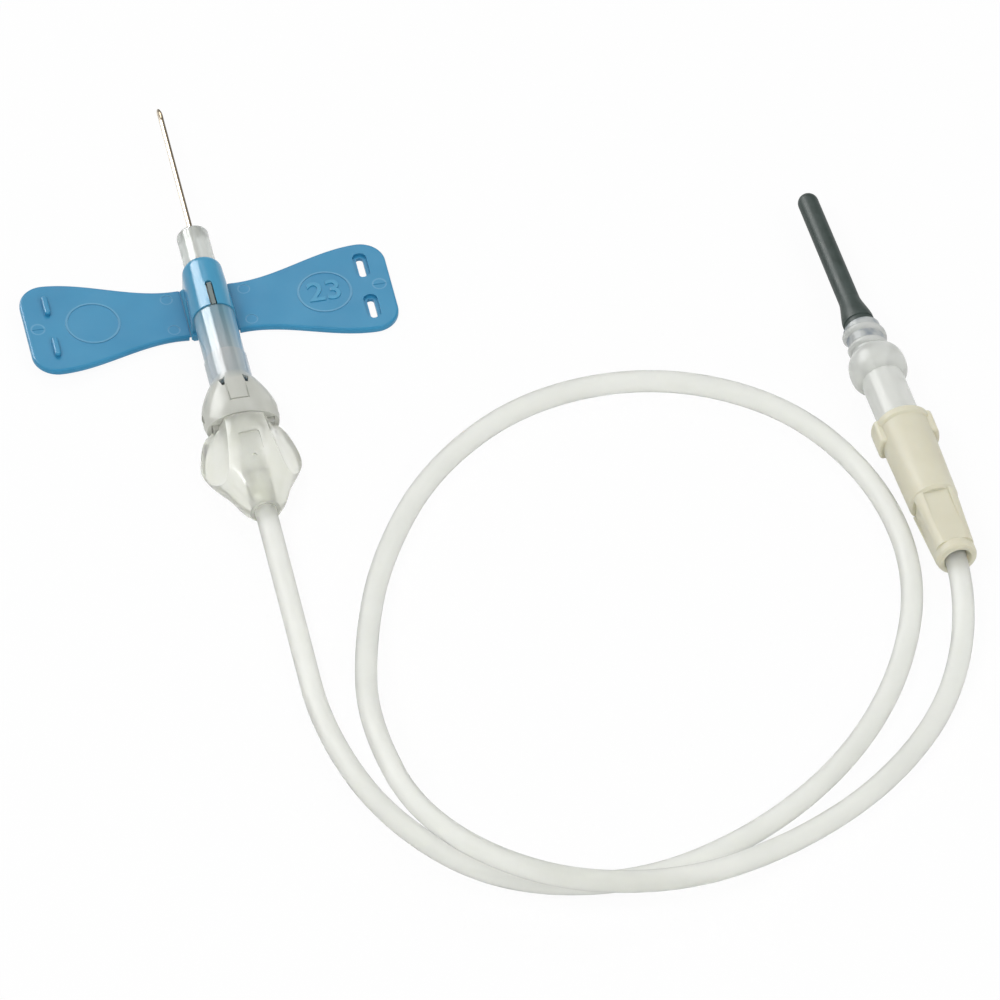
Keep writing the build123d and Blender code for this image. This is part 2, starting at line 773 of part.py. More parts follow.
export_step(luer_adapter.part, "parts/luer_adapter.step")

# Back cannula, bevelled, which pierces the sample tube's stopper
sleeve_rear = seat_floor + sleeve_gap
sleeve_front = sleeve_rear + sleeve_length
back_tip = sleeve_front - sleeve_tip_wall - back_cannula_tip_gap
back_radius = back_cannula_diameter / 2
with BuildPart() as back_cannula:
    with BuildSketch(luer_section(back_cannula_rear)):
        Circle(back_radius)
        Circle(back_cannula_bore / 2, mode=Mode.SUBTRACT)
    extrude(amount=back_tip - back_cannula_rear)
    bevel_normal = Vector(
        luer_direction[0] * sin(radians(bevel_angle)),
        luer_direction[1] * sin(radians(bevel_angle)),
        cos(radians(bevel_angle)),
    )
    back_bevel = Plane(
        origin=luer_frame.from_local_coords((0, back_tip, -back_radius)),
        x_dir=luer_frame.x_dir,
        z_dir=bevel_normal,
    )
    split(bisect_by=back_bevel, keep=Keep.BOTTOM)
back_cannula.part.label = "back_cannula"
export_step(back_cannula.part, "parts/back_cannula.step")

# Cured adhesive at the mouth of the sleeve nipple
with BuildPart() as back_adhesive:
    with BuildSketch(luer_frame):
        with BuildLine():
            Polyline(
                (back_radius + bond_gap, nipple_front - back_well_depth),
                (back_well_radius, nipple_front),
                (back_radius + bond_gap, nipple_front),
                close=True,
            )
        make_face()
    revolve(axis=luer_axis)
back_adhesive.part.label = "back_adhesive"
export_step(back_adhesive.part, "parts/back_adhesive.step")

# Rubber sleeve: closed round tip, straight body, flared base over the nipple
nipple_room = nipple_radius + nipple_barb + 0.02
groove_rear = sleeve_rear + sleeve_base_length - 0.9
with BuildPart() as rubber_sleeve:
    with BuildSketch(luer_frame):
        with BuildLine():
            Polyline(
                (0, sleeve_front),
                (0, sleeve_front - sleeve_tip_wall),
                (sleeve_bore_radius, sleeve_front - sleeve_tip_wall),
                (sleeve_bore_radius, nipple_front + 0.6),
                (nipple_room, nipple_front + 0.1),
                (nipple_room, sleeve_rear),
                (sleeve_base_radius, sleeve_rear),
                (sleeve_base_radius, groove_rear),
                (sleeve_base_radius - sleeve_groove_depth, groove_rear + 0.1),
                (sleeve_base_radius - sleeve_groove_depth, groove_rear + 0.3),
                (sleeve_base_radius, groove_rear + 0.4),
                (sleeve_base_radius, sleeve_rear + sleeve_base_length),
            )
            Bezier(
                (sleeve_base_radius, sleeve_rear + sleeve_base_length),
                (sleeve_base_radius - 0.1, sleeve_rear + sleeve_base_length + 0.9),
                (sleeve_radius + 0.12, sleeve_rear + sleeve_flare_length - 0.9),
                (sleeve_radius + 0.05, sleeve_rear + sleeve_flare_length),
            )
            Line(
                (sleeve_radius + 0.05, sleeve_rear + sleeve_flare_length),
                (sleeve_radius, sleeve_front - sleeve_radius),
            )
            ThreePointArc(
                (sleeve_radius, sleeve_front - sleeve_radius),
                (sleeve_radius * cos(radians(45)), sleeve_front - sleeve_radius * (1 - sin(radians(45)))),
                (0, sleeve_front),
            )
        make_face()
    revolve(axis=luer_axis)
rubber_sleeve.part.label = "rubber_sleeve"
export_step(rubber_sleeve.part, "parts/rubber_sleeve.step")

# Tubing: out of the grip, once round in a loose loop, over itself and into the luer
route = [
    (0.0, -28.7, 3.0),
    (0.0, -37.1, 3.0),
    (0.2, -52.0, 1.35),
    (0.1, -67.7, 1.35),
    (4.9, -83.0, 1.35),
    (15.4, -94.9, 1.35),
    (31.3, -98.4, 1.35),
    (46.4, -94.0, 1.35),
    (59.5, -84.9, 1.35),
    (68.9, -72.3, 1.35),
    (74.0, -57.3, 1.35),
    (72.3, -41.6, 1.35),
    (64.3, -27.8, 1.35),
    (50.2, -20.1, 1.35),
    (34.2, -20.8, 1.35),
    (20.8, -29.5, 1.35),
    (12.0, -42.7, 1.35),
    (7.2, -57.3, 3.4),
    (4.6, -72.3, 7.0),
    (7.5, -88.1, 7.0),
    (19.4, -99.2, 6.2),
    (35.1, -101.6, 4.2),
    (49.8, -96.6, 1.6),
    (63.6, -89.0, 1.35),
    (74.2, -77.1, 1.35),
    (78.97, -62.39, 3.5),
    (78.3, -54.21, 3.5),
]


def corner_radii(points):
    """Bend radius at each corner, as large as its two runs allow."""
    radii = []
    for before, corner, after in zip(points, points[1:], points[2:]):
        first = Vector(*corner) - Vector(*before)
        second = Vector(*after) - Vector(*corner)
        half_turn = radians(first.get_angle(second)) / 2
        radii.append(tube_run_share * min(first.length, second.length) / tan(half_turn))
    return radii


tube_radii = corner_radii(route)
with BuildPart() as tubing:
    with BuildLine() as tube_path:
        FilletPolyline(*route, radius=tube_radii)
    tube_start = Plane(origin=tube_path.line @ 0, z_dir=tube_path.line % 0)
    with BuildSketch(tube_start) as tube_section:
        Circle(tube_diameter / 2)
        Circle(tube_bore / 2, mode=Mode.SUBTRACT)
    sweep()
tubing.part.label = "tubing"
export_step(tubing.part, "parts/tubing.step")

tube_length = sum(edge.length for edge in tube_path.edges())
print("tube length", round(tube_length, 1), "least bend radius", round(min(tube_radii), 1))
print("bend radii", [round(r, 1) for r in tube_radii])
swept_volume = tube_section.sketch.area * tube_length
print("tube volume over section times length", round(tubing.part.volume / swept_volume, 4))
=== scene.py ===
import math

import bpy
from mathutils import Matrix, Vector


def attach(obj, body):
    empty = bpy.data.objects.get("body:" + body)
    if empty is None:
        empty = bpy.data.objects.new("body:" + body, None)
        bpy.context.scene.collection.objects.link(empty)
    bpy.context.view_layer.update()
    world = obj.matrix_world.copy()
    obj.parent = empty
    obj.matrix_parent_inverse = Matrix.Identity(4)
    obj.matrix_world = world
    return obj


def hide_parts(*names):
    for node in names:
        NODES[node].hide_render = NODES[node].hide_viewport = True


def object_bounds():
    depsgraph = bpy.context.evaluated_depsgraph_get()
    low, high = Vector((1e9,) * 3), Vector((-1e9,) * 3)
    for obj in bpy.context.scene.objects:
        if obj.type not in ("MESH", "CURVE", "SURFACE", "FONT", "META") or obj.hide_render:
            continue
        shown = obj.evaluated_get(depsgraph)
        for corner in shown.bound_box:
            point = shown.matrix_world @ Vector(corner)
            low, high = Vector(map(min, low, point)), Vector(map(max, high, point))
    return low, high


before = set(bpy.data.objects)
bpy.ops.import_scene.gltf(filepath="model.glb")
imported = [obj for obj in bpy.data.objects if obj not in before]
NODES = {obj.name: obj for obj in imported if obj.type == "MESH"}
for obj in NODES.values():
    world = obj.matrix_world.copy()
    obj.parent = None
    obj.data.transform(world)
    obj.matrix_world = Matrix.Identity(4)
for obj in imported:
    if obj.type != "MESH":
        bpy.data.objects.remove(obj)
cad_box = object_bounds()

# Places and sizes are in millimetres, except where a name or comment says metres
MM = 0.001


def add(name, data):
    """New object with this data, in the scene."""
    made = bpy.data.objects.new(name, data)
    bpy.context.scene.collection.objects.link(made)
    return made


# Camera: a long lens that looks down at the needle, as the photograph does

CAMERA_AT = (-242.216, -1334.732, 1474.494)
CAMERA_LOOKS_AT = (28.147, -34.912, 0.0)
LENS = 600.0
SENSOR_WIDTH = 36.0
CLIP_END_METRES = 50.0


def make_camera():
    data = bpy.data.cameras.new("camera")
    data.lens = LENS
    data.sensor_width = SENSOR_WIDTH
    data.clip_end = CLIP_END_METRES
    camera = add("camera", data)
    camera.location = Vector(CAMERA_AT) * MM
    aim = (Vector(CAMERA_LOOKS_AT) - Vector(CAMERA_AT)).normalized()
    camera.rotation_euler = aim.to_track_quat("-Z", "Y").to_euler()
    bpy.context.scene.camera = camera


make_camera()


# Shader helpers

def srgb(red, green, blue):
    """Linear colour of an sRGB colour given from 0 to 255."""
    def linear(value):
        value /= 255
        return value / 12.92 if value <= 0.04045 else ((value + 0.055) / 1.055) ** 2.4
    return (linear(red), linear(green), linear(blue), 1.0)


class Shader:
    """A material with a Principled shader, and short calls for the nodes that feed it."""

    def __init__(self, name=None, material=None):
        self.material = material or bpy.data.materials.new(name)
        self.material.use_nodes = True
        self.tree = self.material.node_tree
        self.principled = self.tree.nodes["Principled BSDF"]

    def set(self, **values):
        """Constants of the Principled shader, such as IOR=1.4."""
        for key, value in values.items():
            self.principled.inputs[key.replace("_", " ")].default_value = value

    def link(self, socket, key):
        """Feed one input of the Principled shader."""
        self.tree.links.new(socket, self.principled.inputs[key])

    def node(self, kind, inputs=None, **settings):
        """New node; each of its inputs takes a constant or another node's output."""
        made = self.tree.nodes.new(kind)
        for key, value in settings.items():
            setattr(made, key, value)
        for key, value in (inputs or {}).items():
            if isinstance(value, bpy.types.NodeSocket):
                self.tree.links.new(value, made.inputs[key])
            else:
                made.inputs[key].default_value = value
        return made

    def calculate(self, operation, first, second=0.0):
        return self.node("ShaderNodeMath", {0: first, 1: second}, operation=operation).outputs[0]

    def position(self):
        """The place on the object, in CAD coordinates but in metres."""
        return self.node("ShaderNodeTexCoord").outputs["Object"]

    def axis(self, letter):
        """The place along X, Y or Z."""
        return self.node("ShaderNodeSeparateXYZ", {"Vector": self.position()}).outputs[letter]

    def noise(self, size_mm, detail=3.0, stretch=(1, 1, 1), rough=0.5):
        """Noise whose features are about size_mm across, stretched along the object's axes."""
        scale = self.node("ShaderNodeMapping", {"Vector": self.position(), "Scale": stretch})
        return self.node("ShaderNodeTexNoise", {
            "Vector": scale.outputs["Vector"], "Scale": 1 / (size_mm * MM),
            "Detail": detail, "Roughness": rough}).outputs["Fac"]

    def ranged(self, value, low, high, start=0.3, end=0.7):
        """value carried from start..end to low..high; a noise stays mostly within 0.3..0.7."""
        return self.node("ShaderNodeMapRange", {
            "Value": value, "From Min": start, "From Max": end,
            "To Min": low, "To Max": high}).outputs["Result"]

    def mix(self, factor, first, second, blend_type="MIX"):
        """Colour mix, whose colour sockets only their numbers tell apart."""
        return self.node("ShaderNodeMix", {0: factor, 6: first, 7: second},
                         data_type="RGBA", blend_type=blend_type).outputs[2]

    def ramp(self, value, stops):
        """Colour ramp over value, with stops as position and colour."""
        made = self.node("ShaderNodeValToRGB", {"Fac": value})
        elements = made.color_ramp.elements
        while len(elements) < len(stops):
            elements.new(1.0)
        for element, (position, colour) in zip(elements, stops):
            element.position, element.color = position, colour
        return made.outputs["Color"]

    def cloudy(self, noise, first, second):
        """Colour that drifts from first to second with the noise."""
        return self.mix(self.ranged(noise, 0.0, 1.0), first, second)

    def uneven_roughness(self, noise, low, high):
        self.link(self.ranged(noise, low, high), "Roughness")

    def bump(self, height, distance_mm, strength=1.0):
        made = self.node("ShaderNodeBump", {
            "Height": height, "Distance": distance_mm * MM, "Strength": strength})
        self.link(made.outputs["Normal"], "Normal")


# Materials

BROAD_CLOUD = 7.0
GRAIN_SIZE = 0.5
GRAIN_DEPTH = 0.008
GRAIN_STRENGTH = 0.4
ROUGHNESS_PATCH = 1.5
FLOW_SIZE = 2.6
FLOW_STRETCH = (1, 0.25, 1)
WAVE_SIZE = 2.2
WAVE_STRETCH = (1, 0.35, 1)
WAVE_DEPTH = 0.012
CLEAR_IOR = 1.35


def moulded_plastic(name, colour, dark, roughness, subsurface=0.0, gloss=0.33, subsurface_mm=0.8):
    """Opaque injection-moulded plastic: cloudy colour, uneven gloss and a fine spark-eroded grain."""
    shader = Shader(name)
    shader.set(IOR=1.47, Specular_IOR_Level=gloss)
    if subsurface:
        shader.set(Subsurface_Weight=subsurface, Subsurface_Radius=(1.0, 0.9, 0.7),
                   Subsurface_Scale=subsurface_mm * MM)
    shader.link(shader.cloudy(shader.noise(BROAD_CLOUD, detail=4.0), dark, colour), "Base Color")
    shader.uneven_roughness(shader.noise(2.5), roughness - 0.05, roughness + 0.07)
    shader.bump(shader.noise(GRAIN_SIZE, detail=2.0), GRAIN_DEPTH, GRAIN_STRENGTH)
    return shader.material


# Circles on each wing, as a centre from the collar's axis and the wing's middle line, a radius and
# half the width of its painted highlight line: the raised ring, the marks by the hinge and the mark
# at the tab
WING_MIDDLE = 1.575
WING_RING_X = 14.2
CIRCLES = (
    ((WING_RING_X, 0.0), 3.19, 0.2),
    ((4.75, 2.5), 0.7, 0.12),
    ((20.9, 0.0), 0.8, 0.14))
LINE_HIGHLIGHT_SHARE = 0.13
LINE_HIGHLIGHT_BLUE = srgb(190, 226, 240)


def paint_line_highlights(material):
    """Painted highlight along each wing's circles, where their rounded edges catch the light."""
    shader = Shader(material=material)
    across = shader.calculate("ABSOLUTE", shader.axis("X"))
    ahead = shader.calculate("SUBTRACT", shader.axis("Y"), WING_MIDDLE * MM)
    along = shader.calculate("ABSOLUTE", ahead)
    flat = shader.node("ShaderNodeCombineXYZ", {"X": across, "Y": along}).outputs[0]
    painted_line_highlight = 0.0
    for (x, y), radius, half_width in CIRCLES:
        centre = (x * MM, y * MM, 0.0)
        reach = shader.node("ShaderNodeVectorMath", {0: flat, 1: centre}, operation="DISTANCE")
        off = shader.calculate("SUBTRACT", reach.outputs["Value"], radius * MM)
        gap = shader.calculate("ABSOLUTE", off)
        line = shader.ranged(gap, LINE_HIGHLIGHT_SHARE, 0.0, half_width / 2 * MM, half_width * MM)
        painted_line_highlight = shader.calculate("MAXIMUM", painted_line_highlight, line)
    plain = shader.principled.inputs["Base Color"].links[0].from_socket
    shader.link(shader.mix(painted_line_highlight, plain, LINE_HIGHLIGHT_BLUE), "Base Color")


def flow_colour(shader, shade, colour):
    """Colour in faint streaks, drawn out the way the clear plastic flowed into its mould."""
    return shader.cloudy(shader.noise(FLOW_SIZE, stretch=FLOW_STRETCH), shade, colour)


def moulded_waves(shader):
    """The slight waves of a clear moulding's surface."""
    shader.bump(shader.noise(WAVE_SIZE, detail=1.5, stretch=WAVE_STRETCH), WAVE_DEPTH)


def clear_plastic(name, colour, shade, clearness, roughness, gloss):
    """Moulded plastic that is part clear, with faint flow waves along its length."""
    shader = Shader(name)
    shader.set(IOR=CLEAR_IOR, Specular_IOR_Level=gloss, Transmission_Weight=clearness)
    shader.link(flow_colour(shader, shade, colour), "Base Color")
    shader.uneven_roughness(shader.noise(ROUGHNESS_PATCH), roughness, roughness + 0.06)
    moulded_waves(shader)
    return shader.material


# Painted light across a clear tube's width, as bands of painted highlight, painted shade and painted
# blue reflection: place as a share of its radius, and colour
PAINTED_TUBE_BANDS = (
    (-1.0, srgb(192, 204, 210)), (-0.76, srgb(209, 220, 226)), (-0.58, srgb(184, 199, 205)),
    (-0.36, srgb(216, 220, 221)), (-0.16, srgb(173, 179, 180)), (0.04, srgb(164, 174, 176)),
    (0.32, srgb(168, 180, 182)), (0.42, srgb(194, 206, 208)), (0.6, srgb(186, 204, 214)),
    (0.84, srgb(202, 221, 235)), (1.0, srgb(208, 223, 234)))
PALER_TINT = srgb(236, 238, 238)


def paint_tube_bands(shader, radius, paler=0.0):
    """Long bands of painted highlight, painted shade and painted reflection round a clear tube, paler
    by a share.
    """
    place = shader.ranged(shader.axis("X"), 0.0, 1.0, -radius * MM, radius * MM)
    bands = shader.ramp(place, [((share + 1) / 2, tint) for share, tint in PAINTED_TUBE_BANDS])
    return shader.mix(paler, bands, PALER_TINT)


GUARD_RADIUS = 2.5
GUARD_BLUE_FROM = -10.0
GUARD_BLUE_TO = -3.0
COLLAR_REAR = -1.85
COLLAR_EDGE = 0.1
UNTINTED = (1.0, 1.0, 1.0, 1.0)
COLLAR_PAINTED_REFLECTION = (0.43, 0.7, 0.84, 1.0)
INSIDE_COLLAR_PAINTED_SHADE = (0.34, 0.45, 0.43, 1.0)


def guard_plastic(name):
    """Polished clear tube: painted bands stand in for the light its wall bends, with a painted blue
    reflection next to the collar and painted shade inside the collar.
    """
    shader = Shader(name)
    shader.set(IOR=CLEAR_IOR, Specular_IOR_Level=0.75, Transmission_Weight=0.3)
    along = shader.axis("Y")
    # Painted blue reflection of the collar, growing towards it, then painted shade inside the collar
    near_collar = shader.ranged(along, 0.0, 1.0, GUARD_BLUE_FROM * MM, GUARD_BLUE_TO * MM)
    blue = shader.mix(near_collar, UNTINTED, COLLAR_PAINTED_REFLECTION)
    inside = shader.ranged(along, 0.0, 1.0, (COLLAR_REAR - COLLAR_EDGE) * MM, COLLAR_REAR * MM)
    shade = shader.mix(inside, blue, INSIDE_COLLAR_PAINTED_SHADE)
    bands = paint_tube_bands(shader, GUARD_RADIUS)
    shader.link(shader.mix(1.0, bands, shade, blend_type="MULTIPLY"), "Base Color")
    shader.uneven_roughness(shader.noise(ROUGHNESS_PATCH), 0.07, 0.11)
    shader.bump(shader.noise(WAVE_SIZE, detail=1.5, stretch=(1, 0.2, 1)), 0.004)
    return shader.material


RING_RADIUS = 2.62
RING_MILKY_FROM = -12.6
RING_MILKY_TO = -14.2
RING_SLEEVE_PALER = 0.24
RING_SLEEVE_GLOSS = 0.07
RING_DOME_GLOSS = 0.45


def ring_plastic(name):
    """Lock ring: its clear sleeve carries the guard's painted bands of highlight and shade, paler;
    its dome is milkier and warmer.
    """
    shader = Shader(name)
    shader.set(IOR=CLEAR_IOR, Transmission_Weight=0.4)
    along = shader.axis("Y")
    dome_range = (RING_MILKY_TO * MM, RING_MILKY_FROM * MM)
    # Painted bands of highlight and shade, paler, on the sleeve
    bands = paint_tube_bands(shader, RING_RADIUS, RING_SLEEVE_PALER)
    dome = flow_colour(shader, srgb(220, 221, 213), srgb(232, 233, 226))
    milky = shader.ranged(along, 1.0, 0.0, *dome_range)
    shader.link(shader.mix(milky, bands, dome), "Base Color")
    gloss = shader.ranged(along, RING_SLEEVE_GLOSS, RING_DOME_GLOSS, *dome_range)
    shader.link(gloss, "Specular IOR Level")
    shader.uneven_roughness(shader.noise(ROUGHNESS_PATCH), 0.12, 0.18)
    moulded_waves(shader)
    return shader.material


NECK_FROM = -24.2
NECK_TO = -22.8
SLEEVE_FOOT_PAINTED_SHADE = srgb(158, 167, 175)


def adapter_plastic(name):
    """Milky clear plastic, with painted shade in patches on its neck where the dark foot of the
    sleeve shows through.
    """
    shader = Shader(name)
    shader.set(IOR=CLEAR_IOR, Specular_IOR_Level=0.14, Transmission_Weight=0.35)
    body = flow_colour(shader, srgb(231, 233, 228), srgb(241, 242, 238))
    # Painted shade on the neck's front, in patches, for the sleeve's dark foot seen through it
    neck = shader.ranged(shader.axis("Y"), 0.0, 1.0, NECK_FROM * MM, NECK_TO * MM)
    patches = shader.ranged(shader.noise(2.0, detail=2.0), 0.35, 1.0, 0.4, 0.6)
    foot = shader.calculate("MULTIPLY", neck, patches)
    shader.link(shader.mix(foot, body, SLEEVE_FOOT_PAINTED_SHADE), "Base Color")
    shader.uneven_roughness(shader.noise(ROUGHNESS_PATCH), 0.2, 0.26)
    moulded_waves(shader)
    return shader.material


def frosted_plastic(name):
    """The grip's cloudy plastic: half see-through, half milky, under a soft gloss."""
    shader = Shader(name)
    shader.set(IOR=1.28, Specular_IOR_Level=0.7, Transmission_Weight=0.66, Subsurface_Weight=0.4,
               Subsurface_Radius=(1.0, 1.0, 0.9), Subsurface_Scale=1.5 * MM)
    cloud = shader.noise(4.0, detail=4.0)
    shader.link(shader.cloudy(cloud, srgb(241, 242, 232), srgb(250, 251, 244)), "Base Color")
    shader.uneven_roughness(shader.noise(1.6), 0.08, 0.14)
    return shader.material


def milky_vinyl(name):
    """Soft tubing: even milky body with a matt extruded skin."""
    shader = Shader(name)
    shader.set(IOR=1.3, Specular_IOR_Level=0.3, Transmission_Weight=0.6, Subsurface_Weight=0.9,
               Subsurface_Radius=(1.0, 1.0, 0.95), Subsurface_Scale=2.0 * MM)
    cloud = shader.noise(9.0)
    shader.link(shader.cloudy(cloud, srgb(237, 238, 233), srgb(243, 244, 239)), "Base Color")
    shader.uneven_roughness(shader.noise(3.0), 0.44, 0.54)
    return shader.material


# The borders of the painted highlight and the painted shade on the flanks are shares of the needle's
# radius
NEEDLE_RADIUS = 0.32
PAINTED_HIGHLIGHT_TO = -0.4
PAINTED_SHADE_FROM = 0.2


def needle_steel(name):
    """Drawn steel tube with fine scratches along it, with a painted highlight on one flank and
    painted shade on the other.
    """
    shader = Shader(name)
    shader.set(Metallic=1.0)
    streak = shader.noise(0.25, stretch=(1, 0.04, 1))
    # Painted highlight on the -X flank and painted shade on the +X flank, standing in for the steel's
    # reflections
    side = shader.ranged(shader.axis("X"), 0.0, 1.0,
                         PAINTED_HIGHLIGHT_TO * NEEDLE_RADIUS * MM, PAINTED_SHADE_FROM * NEEDLE_RADIUS * MM)
    painted_highlight_flank = shader.cloudy(streak, srgb(214, 202, 184), srgb(236, 226, 208))
    dark = shader.cloudy(streak, srgb(104, 94, 78), srgb(130, 118, 100))
    shader.link(shader.mix(side, painted_highlight_flank, dark), "Base Color")
    shader.uneven_roughness(streak, 0.3, 0.4)
    shader.bump(streak, 0.004, 0.6)
    return shader.material


def cured_adhesive(name):
    """Clear cured adhesive with a faint yellow tint and small bubbles."""
    shader = Shader(name)
    shader.set(Transmission_Weight=0.6, IOR=1.4)
    bubbles = shader.noise(0.2, detail=2.0)
    shader.link(shader.cloudy(bubbles, srgb(214, 210, 192), srgb(234, 230, 214)), "Base Color")
    shader.uneven_roughness(bubbles, 0.08, 0.2)
    return shader.material


def sleeve_rubber(name):
    """Dark latex sleeve: dull skin, dusted a little lighter in patches."""
    shader = Shader(name)
    shader.set(IOR=1.5, Specular_IOR_Level=0.15)
    dust = shader.noise(1.8, detail=5.0, rough=0.6)
    shader.link(shader.cloudy(dust, srgb(54, 64, 60), srgb(69, 79, 76)), "Base Color")
    shader.uneven_roughness(dust, 0.36, 0.5)
    shader.bump(shader.noise(0.35), 0.015, 0.5)
    return shader.material


WING_ROUGHNESS = 0.33
BLUE_SUBSURFACE = 0.08

MATERIALS = {
    "wing_left": moulded_plastic(
        "wing_blue", srgb(57, 141, 181), srgb(50, 134, 175), WING_ROUGHNESS, BLUE_SUBSURFACE),
    # The collar takes a lighter copy of the wing blue: painted light that offsets the shade on its
    # round sides
    "wing_collar": moulded_plastic(
        "collar_blue_painted_light", srgb(76, 154, 190), srgb(68, 146, 183), 0.16, BLUE_SUBSURFACE, gloss=0.3),
    "needle_hub": clear_plastic(
        "clear_hub", srgb(228, 231, 228), srgb(216, 220, 215), clearness=0.55, roughness=0.1,
        gloss=0.7),
    "guard_tube": guard_plastic("clear_guard"),
    "lock_ring": ring_plastic("clear_ring"),
    "luer_adapter": adapter_plastic("clear_adapter"),
    "grip": frosted_plastic("frosted_grip"),
    "cannula": needle_steel("needle_steel"),
    "cannula_adhesive": cured_adhesive("adhesive"),
    "female_luer": moulded_plastic(
        "luer_cream", srgb(220, 217, 197), srgb(213, 209, 188), 0.4, subsurface=0.55, gloss=0.14,
        subsurface_mm=1.2),
    "rubber_sleeve": sleeve_rubber("sleeve_rubber"),
}
# Painted highlight along the wings' raised circles
paint_line_highlights(MATERIALS["wing_left"])
MATERIALS["wing_right"] = MATERIALS["wing_left"]
MATERIALS["back_cannula"] = MATERIALS["cannula"]
MATERIALS["back_adhesive"] = MATERIALS["cannula_adhesive"]

for node_name, material in MATERIALS.items():
    slots = NODES[node_name].data.materials
    slots.clear()
    slots.append(material)


# Tubing: the route's corners are the control points of one smooth curve

TUBE_DIAMETER = 2.65
ROUTE = [
    (0.0, -28.7, 3.0),
    (0.0, -37.1, 3.0),
    (0.2, -52.0, 1.35),
    (0.1, -67.7, 1.35),
    (4.9, -83.0, 1.35),
    (15.4, -94.9, 1.35),
    (31.3, -98.4, 1.35),
    (46.4, -94.0, 1.35),
    (59.5, -84.9, 1.35),
    (68.9, -72.3, 1.35),
    (74.0, -57.3, 1.35),
    (72.3, -41.6, 1.35),
    (64.3, -27.8, 1.35),
    (50.2, -20.1, 1.35),
    (34.2, -20.8, 1.35),
    (20.8, -29.5, 1.35),
    (12.0, -42.7, 1.35),
    (7.2, -57.3, 3.4),
    (4.6, -72.3, 7.0),
    (7.5, -88.1, 7.0),
    (19.4, -99.2, 6.2),
    (35.1, -101.6, 4.2),
    (49.8, -96.6, 1.6),
    (63.6, -89.0, 1.35),
    (74.2, -77.1, 1.35),
    (78.97, -62.39, 3.5),
    (78.3, -54.21, 3.5),
]


def make_tubing():
    data = bpy.data.curves.new("tubing", "CURVE")
    data.dimensions = "3D"
    data.bevel_depth = TUBE_DIAMETER / 2 * MM
    data.bevel_resolution = 8
    data.resolution_u = 16
    data.use_fill_caps = True
    spline = data.splines.new("NURBS")
    spline.points.add(len(ROUTE) - 1)
    for point, place in zip(spline.points, ROUTE):
        point.co = (*(Vector(place) * MM), 1.0)
    spline.order_u = 3
    spline.use_endpoint_u = True
    data.materials.append(milky_vinyl("tube_vinyl"))
    tube = add("soft_tubing", data)
    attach(tube, "needle")
    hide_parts("tubing")


make_tubing()


# Raised figures in the right wing's ring

FIGURES = "23"
FIGURE_HEIGHT = 3.1
FIGURE_RISE = 0.14
FIGURE_BEVEL = 0.03
FIGURE_SWELL = 0.02
EM_TO_FIGURE = 1.38
WING_TOP = 0.9
RING_PLACE = (WING_RING_X, WING_MIDDLE)


def make_figures():
    data = bpy.data.curves.new("wing_figures", "FONT")
    data.body = FIGURES
    data.size = FIGURE_HEIGHT * EM_TO_FIGURE * MM
    data.extrude = FIGURE_RISE / 2 * MM
    data.bevel_depth = FIGURE_BEVEL * MM
    data.bevel_resolution = 2
    data.offset = FIGURE_SWELL * MM
    data.align_x = "CENTER"
    data.align_y = "CENTER"
    # A lighter copy of the wing blue: painted highlight on the raised figures
    data.materials.append(moulded_plastic(
        "figure_blue_painted_highlight", srgb(74, 154, 191), srgb(66, 147, 184), WING_ROUGHNESS, BLUE_SUBSURFACE))
    figures = add("wing_figures", data)
    figures.location = Vector((*RING_PLACE, WING_TOP + FIGURE_RISE / 2 - FIGURE_BEVEL)) * MM
    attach(figures, "right_wing")


make_figures()


# Holder thread on the clear adapter's neck: one rounded ridge wound round it

LUER_REAR = (78.64, -58.4, 3.5)
LUER_TURN = 4.66
THREAD_START = 34.5
THREAD_TURNS = 1.85
THREAD_PITCH = 2.2
THREAD_ROOT_RADIUS = 2.26
THREAD_CREST_RADIUS = 2.56
THREAD_FOOT = 1.1
THREAD_CREST = 0.4
THREAD_SINK = 0.1
THREAD_LEAST_RISE = 0.02
THREAD_RUN_OUT = 0.2
STEPS_PER_TURN = 48


def luer_point(radius, angle, distance):
    """Point round the luer's axis, distance ahead of the tube's entry."""
    turn = math.radians(LUER_TURN)
    across = radius * math.cos(angle)
    return Vector((
        LUER_REAR[0] + across * math.cos(turn) - distance * math.sin(turn),
        LUER_REAR[1] + across * math.sin(turn) + distance * math.cos(turn),
        LUER_REAR[2] + radius * math.sin(angle))) * MM


def thread_profile(crest):
    """Corners of the ridge's section: distance from the luer's axis, and offset along it."""
    sunk = THREAD_ROOT_RADIUS - THREAD_SINK
    foot, top = THREAD_FOOT / 2, THREAD_CREST / 2
    return ((sunk, -foot), (THREAD_ROOT_RADIUS, -foot), (crest, -top),
            (crest, top), (THREAD_ROOT_RADIUS, foot), (sunk, foot))


